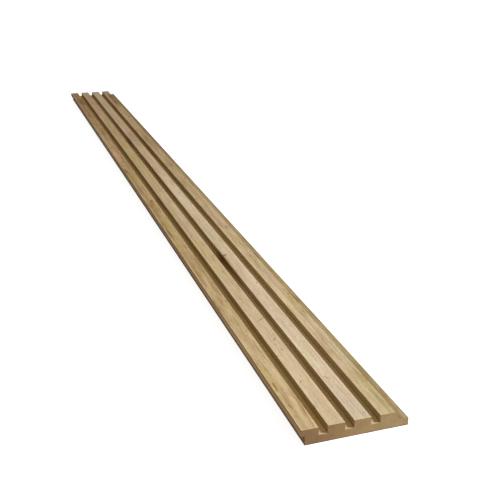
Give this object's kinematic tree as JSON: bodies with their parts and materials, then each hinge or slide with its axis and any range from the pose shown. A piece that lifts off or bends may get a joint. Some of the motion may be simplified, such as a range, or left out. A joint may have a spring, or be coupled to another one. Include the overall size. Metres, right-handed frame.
{
  "type": "slat wall panel",
  "caption": "Long timber-look wall panel milled in one piece, with flat slats, square grooves between them and a shiplap joint along both sides.",
  "frame": {"origin": "middle of the flat back face, which lies on z = 0", "axes": "+Z out of the slatted face, +Y along the slats, +X across them from the lip side to the ledge side"},
  "size_m": [0.165, 2.4, 0.025],
  "materials": {
    "oak_board": "matt pale oak on the milled face, plain brown on the sawn ends and the back"
  },
  "bodies": {
    "root": {"slat_panel": "oak_board"}
  },
  "joints": []
}
